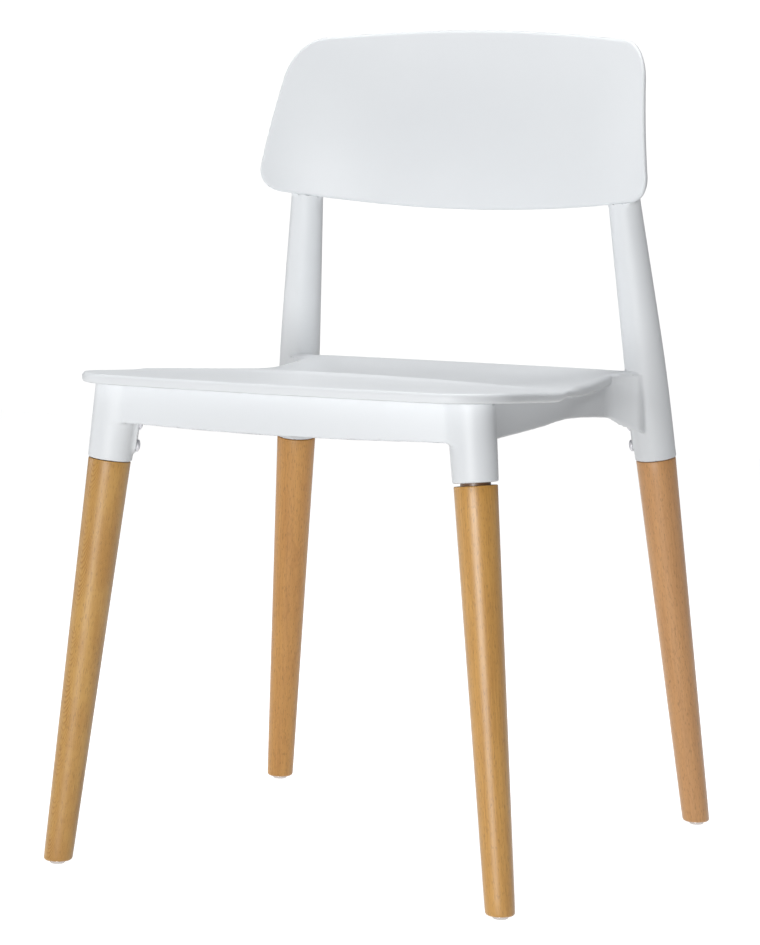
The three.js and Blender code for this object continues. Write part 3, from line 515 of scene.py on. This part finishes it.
def make_leg(row, word, side):
    """Leg with a level, hollowed foot over its glide, a tapered body, a shoulder and a tenon."""
    foot, top, axis = leg_line(row, side)
    length = float(np.linalg.norm(top - foot))
    turn = Vector((0, 0, 1)).rotation_difference(Vector(axis)).to_matrix()
    up = turn.inverted() @ Vector((0, 0, 1))         # the vertical, in the leg's own axes
    circle = [(math.cos(a), math.sin(a)) for a in (2 * math.pi * k / LEG_SIDES for k in range(LEG_SIDES))]
    rings = []
    for grow, level in FOOT_RINGS:                   # added to the foot's radius, and height above the floor
        flat = [((FOOT_R + grow) * c, (FOOT_R + grow) * s) for c, s in circle]
        rings.append([(x, y, (level - x * up.x - y * up.y) / up.z) for x, y in flat])
    body = [(FOOT_R + (SHOULDER_R - FOOT_R) * h / length, h) for h in np.linspace(18, length - 1.0, 24)]
    body += [(SHOULDER_R - 0.15, length - 0.4), (SHOULDER_R - 0.7, length), (TENON_R, length + 0.05),
             (TENON_R, length + TENON_LEN - 2), (TENON_R - 2, length + TENON_LEN)]
    rings += [[(r * c, r * s, h) for c, s in circle] for r, h in body]
    verts = [(0, 0, 3.2 / up.z)] + [v for ring in rings for v in ring] + [(0, 0, length + TENON_LEN)]
    obj = place(f"turned_leg_{row}_{word}", verts, ring_faces(len(rings), LEG_SIDES), foot, axis)
    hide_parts(f"leg_{row}_{word}")
    return obj, length


def make_glide(row, word, side):
    foot, _, _ = leg_line(row, side)
    obj = lathe(f"nickel_glide_{row}_{word}", GLIDE_PROFILE, GLIDE_SIDES, foot, (0, 0, 1))
    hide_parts(f"glide_{row}_{word}")
    return obj


def headed(name, origin, axis, head_r, head_h, shank_r, shank_len, hex_r):
    """Button-head bolt with a hexagon recess. Its own Z points out of the head and starts under it.

    A shape is (radius, height, share of hexagon in the outline)."""
    dome = 0.72 * math.pi / 2
    shapes = [(shank_r * 0.75, -shank_len, 0), (shank_r, -shank_len + 0.8, 0), (shank_r, 0, 0),
              (head_r - 0.3, 0, 0), (head_r, 0.3, 0), (head_r, head_h * 0.3, 0)]
    for t in np.linspace(0.15, 1, 7):
        rise = math.sin(t * dome) / math.sin(dome)
        shapes.append((head_r * math.cos(t * dome), head_h * (0.3 + 0.7 * rise), 0))
    shapes += [(hex_r * 1.28, head_h, 0), (hex_r * 1.1, head_h - 0.25, 0.5), (hex_r, head_h - 0.4, 1),
               (hex_r, head_h * 0.35, 1)]
    verts = [(0, 0, shapes[0][1])]
    for r, h, hexed in shapes:
        for k in range(BOLT_SIDES):
            a = 2 * math.pi * k / BOLT_SIDES
            flat = 0.93 / math.cos((a % (math.pi / 3)) - math.pi / 6)
            rr = r * (1 + hexed * (flat - 1))
            verts.append((rr * math.cos(a), rr * math.sin(a), h))
    verts.append((0, 0, head_h * 0.35))
    return place(name, verts, ring_faces(len(shapes), BOLT_SIDES), origin, axis, 0.3)


# ------------------------------------------------------------------ materials

def node_tree(name):
    mat = bpy.data.materials.new(name)
    mat.use_nodes = True
    tree = mat.node_tree
    return mat, tree, tree.nodes["Principled BSDF"]


def link(tree, a, b):
    tree.links.new(a, b)


def add(tree, kind, **values):
    node = tree.nodes.new(kind)
    for key, value in values.items():
        if key.startswith("in_"):
            node.inputs[key[3:].replace("_", " ")].default_value = value
        else:
            setattr(node, key, value)
    return node


def math_node(tree, op, *values):
    node = add(tree, "ShaderNodeMath", operation=op)
    for socket, value in zip(node.inputs, values):
        if isinstance(value, (int, float)):
            socket.default_value = value
        else:
            link(tree, value, socket)
    return node.outputs[0]


def scaled(tree, vector, scale, offset=(0, 0, 0)):
    node = add(tree, "ShaderNodeMapping")
    node.inputs["Scale"].default_value = scale
    node.inputs["Location"].default_value = offset
    link(tree, vector, node.inputs["Vector"])
    return node.outputs[0]


def noise(tree, vector, scale, detail, rough):
    node = add(tree, "ShaderNodeTexNoise", in_Scale=scale, in_Detail=detail, in_Roughness=rough)
    link(tree, vector, node.inputs["Vector"])
    return node.outputs["Fac"]


def grey(value):
    return (value, value, value)


def ramp(tree, value, stops):
    node = add(tree, "ShaderNodeValToRGB")
    link(tree, value, node.inputs["Fac"])
    elements = node.color_ramp.elements
    while len(elements) < len(stops):
        elements.new(0.5)
    for e, (pos, colour) in zip(elements, stops):
        e.position = pos
        e.color = (*colour, 1)
    return node.outputs["Color"]


def mix_colour(tree, fac, a, b):
    node = add(tree, "ShaderNodeMix", data_type="RGBA")
    sockets = [s for s in node.inputs if s.type == "RGBA"]
    for socket, value in ((node.inputs["Factor"], fac), (sockets[0], a), (sockets[1], b)):
        if isinstance(value, tuple):
            socket.default_value = (*value, 1)
        else:
            link(tree, value, socket)
    return next(s for s in node.outputs if s.type == "RGBA")


def bump(tree, height, strength, distance):
    node = add(tree, "ShaderNodeBump", in_Strength=strength, in_Distance=distance)
    link(tree, height, node.inputs["Height"])
    return node.outputs["Normal"]


def white_plastic():
    mat, tree, shader = node_tree("white_polypropylene")
    at = add(tree, "ShaderNodeTexCoord").outputs["Object"]
    broad = noise(tree, at, 9, 2, 0.5)
    grain = noise(tree, at, 900, 2, 0.6)
    pebble = noise(tree, at, 380, 1, 0.5)
    colour = ramp(tree, broad, [(0.3, (0.795, 0.818, 0.84)), (0.7, (0.815, 0.838, 0.858))])
    link(tree, colour, shader.inputs["Base Color"])
    link(tree, math_node(tree, "MULTIPLY_ADD", broad, 0.08, 0.42), shader.inputs["Roughness"])
    height = math_node(tree, "ADD", math_node(tree, "MULTIPLY", grain, 0.6), pebble)
    link(tree, bump(tree, height, 0.22, 0.00012), shader.inputs["Normal"])
    shader.inputs["IOR"].default_value = 1.49
    return mat


# Noise scales per metre: the last one is along the leg
WAVE, PATCH, ZONES = (70, 70, 40), (60, 60, 22), (70, 70, 6)
STREAK, FINE, FLECK = (520, 520, 26), (1500, 1500, 130), (1300, 1300, 210)
# painted shade: the near black of the tenon, seen in the gap between a leg's shoulder and its socket
TENON_GAP_SHADE = (0.16, 0.075, 0.03)


def beech(name, look, length):
    """Lacquered beech: growth layers that lean through the leg, grain streaks and short dark flecks.

    Where a layer meets the turned surface square on, its edge shows as a column of nested arcs. A look says how
    the layers lie ("face" is the direction they face in degrees, "slope" how they lean, "layers" how many there
    are in a metre), how strong each part of the grain is, the weight and roughness of the coat, and the two
    colours between which the grain runs."""
    mat, tree, shader = node_tree(name)
    at = scaled(tree, add(tree, "ShaderNodeTexCoord").outputs["Object"], (1, 1, 1), look["offset"])
    split = add(tree, "ShaderNodeSeparateXYZ")
    link(tree, at, split.inputs[0])
    face = math.radians(look["face"])

    def grain(scale, detail, rough):
        return noise(tree, scaled(tree, at, scale), 1, detail, rough)

    depth = math_node(tree, "MULTIPLY", split.outputs["X"], math.cos(face) * look["layers"])
    for axis, share in (("Y", math.sin(face)), ("Z", look["slope"])):
        part = math_node(tree, "MULTIPLY", split.outputs[axis], share * look["layers"])
        depth = math_node(tree, "ADD", depth, part)
    depth = math_node(tree, "ADD", depth, math_node(tree, "MULTIPLY", grain(WAVE, 2, 0.5), look["wave"]))
    late = ramp(tree, math_node(tree, "FRACT", depth),
                [(0.0, grey(0.1)), (0.45, grey(0.25)), (0.8, grey(1.0)), (1.0, grey(0.1))])
    patch = ramp(tree, grain(PATCH, 3, 0.6), [(0.4, grey(0.15)), (0.62, grey(1.0))])
    zones, streak, fine = grain(ZONES, 3, 0.55), grain(STREAK, 3, 0.6), grain(FINE, 2, 0.5)
    tone = math_node(tree, "MULTIPLY", math_node(tree, "MULTIPLY", late, patch), look["contrast"])
    for layer, share in ((zones, 0.55), (streak, look["streak"]), (fine, 0.3)):
        tone = math_node(tree, "ADD", tone, math_node(tree, "MULTIPLY", layer, share))
    colour = ramp(tree, tone, [(0.3, look["light"]), (0.95, look["dark"])])
    fleck = ramp(tree, grain(FLECK, 1, 0.4), [(0.60, grey(0.0)), (0.70, grey(1.0))])
    flecked = mix_colour(tree, math_node(tree, "MULTIPLY", fleck, 0.4), colour,
                         tuple(c * 0.5 for c in look["dark"]))
    # painted shade: the tenon above the shoulder shows only in the gap under the socket and is painted very
    # dark for the shade there
    tenon = math_node(tree, "GREATER_THAN", split.outputs["Z"], (length + 0.02) * MM + look["offset"][2])
    link(tree, mix_colour(tree, tenon, flecked, TENON_GAP_SHADE), shader.inputs["Base Color"])
    link(tree, math_node(tree, "MULTIPLY_ADD", streak, 0.16, 0.34), shader.inputs["Roughness"])
    height = math_node(tree, "SUBTRACT", math_node(tree, "MULTIPLY", streak, 0.5), fleck)
    link(tree, bump(tree, height, 0.2, 0.00008), shader.inputs["Normal"])
    shader.inputs["Coat Weight"].default_value, shader.inputs["Coat Roughness"].default_value = look["coat"]
    shader.inputs["Sheen Weight"].default_value = look["sheen"]
    return mat


def metal(name, colour, rough, scratch):
    mat, tree, shader = node_tree(name)
    at = add(tree, "ShaderNodeTexCoord").outputs["Object"]
    cloud = noise(tree, at, 700, 3, 0.6)
    brushed = noise(tree, scaled(tree, at, (300, 300, 6000)), 1, 2, 0.5)
    tint = ramp(tree, cloud, [(0.3, tuple(c * 0.88 for c in colour)), (0.7, colour)])
    link(tree, tint, shader.inputs["Base Color"])
    shader.inputs["Metallic"].default_value = 1.0
    link(tree, math_node(tree, "MULTIPLY_ADD", brushed, scratch, rough), shader.inputs["Roughness"])
    link(tree, bump(tree, brushed, 0.15, 0.00004), shader.inputs["Normal"])
    return mat


WHITE = white_plastic()
NICKEL = metal("bright_nickel", (0.60, 0.57, 0.55), 0.13, 0.12)
ZINC = metal("zinc_plate", (0.70, 0.70, 0.73), 0.5, 0.2)
BRASS = metal("plain_brass", (0.70, 0.55, 0.27), 0.3, 0.2)


def finish_piece(obj, mat):
    obj.data.materials.clear()
    obj.data.materials.append(mat)
    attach(obj, "root")


# ------------------------------------------------------------------ build the chair

SEAT_BLOCK = (-217, 217, -246, 220, 349, 462)
POST_BLOCKS = [(-209, -135, 118, 218, 462, 713), (135, 209, 118, 218, 462, 713)]
shell = mesh_field("moulded_frame", frame_sdf, frame_plan, (-217, -246, 350), (217, 220, 712), 2.0,
                   blocks=[SEAT_BLOCK, *POST_BLOCKS])
front_seat = mesh_field("front_seat_panel", seat_front_sdf, seat_front_plan,
                        (-222, -266, 430), (222, -80, 458), 1.6)
back = mesh_field("bowed_back_panel", back_sdf, None, (-210, 104, 588), (210, 206, 774), 2.0)
for piece, node in ((shell, "frame"), (front_seat, "seat_front_panel"), (back, "back_panel")):
    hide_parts(node)
    finish_piece(piece, WHITE)

# Every leg is cut from its own blank
LEG_LOOKS = {
    ("front", "left"): {"offset": (0.03, 0.02, 0.1), "face": 251, "slope": 0.075, "layers": 2100, "wave": 3.0,
                        "contrast": 0.62, "streak": 0.22, "coat": (0.24, 0.44), "sheen": 0.05,
                        "light": (0.66, 0.385, 0.100), "dark": (0.43, 0.20, 0.036)},
    ("front", "right"): {"offset": (0.01, 0.05, 0.33), "face": 20, "slope": 0.02, "layers": 420, "wave": 1.5,
                         "contrast": 0.14, "streak": 0.42, "coat": (0.60, 0.35), "sheen": 0.0,
                         "light": (0.75, 0.41, 0.096), "dark": (0.44, 0.20, 0.031)},
    ("rear", "left"): {"offset": (0.06, 0.01, 0.71), "face": 330, "slope": 0.02, "layers": 300, "wave": 2.5,
                       "contrast": 0.17, "streak": 0.26, "coat": (0.22, 0.40), "sheen": 0.0,
                       "light": (0.75, 0.385, 0.095), "dark": (0.47, 0.195, 0.04)},
    ("rear", "right"): {"offset": (0.02, 0.07, 1.13), "face": 45, "slope": 0.03, "layers": 350, "wave": 2.0,
                        "contrast": 0.10, "streak": 0.25, "coat": (0.45, 0.42), "sheen": 0.16,
                        "light": (0.77, 0.40, 0.145), "dark": (0.46, 0.20, 0.05)},
}
for (row, word), look in LEG_LOOKS.items():
    side = 1 if word == "right" else -1
    leg, length = make_leg(row, word, side)
    finish_piece(leg, beech(f"beech_{row}_{word}", look, length))
    finish_piece(make_glide(row, word, side), NICKEL)
    bolts, inward = bolt_places(row, side)
    for level, bolt in zip(("lower", "upper"), bolts):
        seat = bolt + inward * (BOLT_SEAT[row] + BOLT_LIFT)
        piece = headed(f"button_bolt_{row}_{word}_{level}", seat, inward, **BOLT)
        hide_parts(f"leg_bolt_{row}_{word}_{level}")
        finish_piece(piece, ZINC)

# the hidden fasteners stay as they are in the CAD
for name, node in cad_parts.items():
    if name.startswith(("leg_insert", "seat_screw", "back_screw")):
        node.data.materials.clear()
        node.data.materials.append(BRASS if name.startswith("leg_insert") else ZINC)

# ------------------------------------------------------------------ stage, light and camera

FLOOR_HALF = 4.0
LIGHTS = [
    # name, place, size, power
    ("front_low", (0.5, -3.6, 0.5), (1.8, 0.9), 76),
    ("left", (-3.2, -0.5, 1.2), (1.8, 1.6), 25),
    ("top", (0.0, 0.0, 3.2), (2.4, 2.4), 37),
    ("top_back", (0.3, 0.9, 3.0), (2.0, 1.6), 40),
]
LIGHT_TARGET = (0, 0, 0.45)
CAMERA_LENS = 129.03
CAMERA_PLACE = (1.31242, -2.85450, 0.66569)
CAMERA_ANGLES = (24.822, 5.706, 1.2306)     # azimuth, downward pitch and roll, in degrees


def make_floor():
    mesh = bpy.data.meshes.new("floor")
    s = FLOOR_HALF
    mesh.from_pydata([(-s, -s, 0), (s, -s, 0), (s, s, 0), (-s, s, 0)], [], [(0, 1, 2, 3)])
    floor = bpy.data.objects.new("floor", mesh)
    bpy.context.scene.collection.objects.link(floor)
    mat, tree, shader = node_tree("pale_floor")
    shader.inputs["Base Color"].default_value = (0.4, 0.4, 0.4, 1)
    shader.inputs["Roughness"].default_value = 0.9
    shader.inputs["Specular IOR Level"].default_value = 0.1
    shader.inputs["Emission Color"].default_value = (1, 1, 1, 1)
    shader.inputs["Emission Strength"].default_value = 0.93
    mesh.materials.append(mat)
    floor.visible_diffuse = False        # the chair's own light comes from the lamps and the world


def make_light(name, location, target, size, power):
    data = bpy.data.lights.new(name, "AREA")
    data.shape = "RECTANGLE"
    data.size, data.size_y = size
    data.energy = power
    light = bpy.data.objects.new(name, data)
    light.location = location
    light.rotation_mode = "QUATERNION"
    light.rotation_quaternion = (Vector(target) - Vector(location)).to_track_quat("-Z", "Y")
    bpy.context.scene.collection.objects.link(light)


def make_world(glow, above, below):
    """White to the camera. Dark grey above the horizon and mid grey below it light the chair."""
    world = bpy.data.worlds.new("studio")
    bpy.context.scene.world = world
    world.use_nodes = True
    tree = world.node_tree
    out = tree.nodes["World Output"]
    lit = tree.nodes["Background"]
    split = add(tree, "ShaderNodeSeparateXYZ")
    link(tree, add(tree, "ShaderNodeTexCoord").outputs["Generated"], split.inputs[0])
    height = math_node(tree, "MULTIPLY_ADD", split.outputs["Z"], 0.5, 0.5)
    link(tree, ramp(tree, height, [(0.4, below), (0.6, above)]), lit.inputs["Color"])
    seen = tree.nodes.new("ShaderNodeBackground")
    seen.inputs["Color"].default_value = (1, 1, 1, 1)
    seen.inputs["Strength"].default_value = glow
    mixer = tree.nodes.new("ShaderNodeMixShader")
    path = tree.nodes.new("ShaderNodeLightPath")
    link(tree, path.outputs["Is Camera Ray"], mixer.inputs["Fac"])
    link(tree, lit.outputs[0], mixer.inputs[1])
    link(tree, seen.outputs[0], mixer.inputs[2])
    link(tree, mixer.outputs[0], out.inputs["Surface"])


def make_camera():
    data = bpy.data.cameras.new("camera")
    data.lens = CAMERA_LENS
    data.sensor_width = 36.0
    data.clip_end = 100
    cam = bpy.data.objects.new("camera", data)
    azimuth, pitch, roll = (math.radians(a) for a in CAMERA_ANGLES)
    level = math.cos(pitch)
    ahead = Vector((-math.sin(azimuth) * level, math.cos(azimuth) * level, -math.sin(pitch)))
    right = Vector((math.cos(azimuth), math.sin(azimuth), 0))
    up = right.cross(ahead)
    r = right * math.cos(roll) + up * math.sin(roll)
    u = up * math.cos(roll) - right * math.sin(roll)
    turn = Matrix((r, u, -ahead)).transposed().to_4x4()
    cam.matrix_world = Matrix.Translation(CAMERA_PLACE) @ turn
    bpy.context.scene.collection.objects.link(cam)
    bpy.context.scene.camera = cam


make_floor()
make_world(glow=1.05, above=(0.08, 0.082, 0.086), below=grey(0.5))
for name, place_at, size, power in LIGHTS:
    make_light(name, place_at, LIGHT_TARGET, size, power)
make_camera()
bpy.context.scene.view_settings.view_transform = "Standard"
bpy.context.scene.view_settings.look = "None"
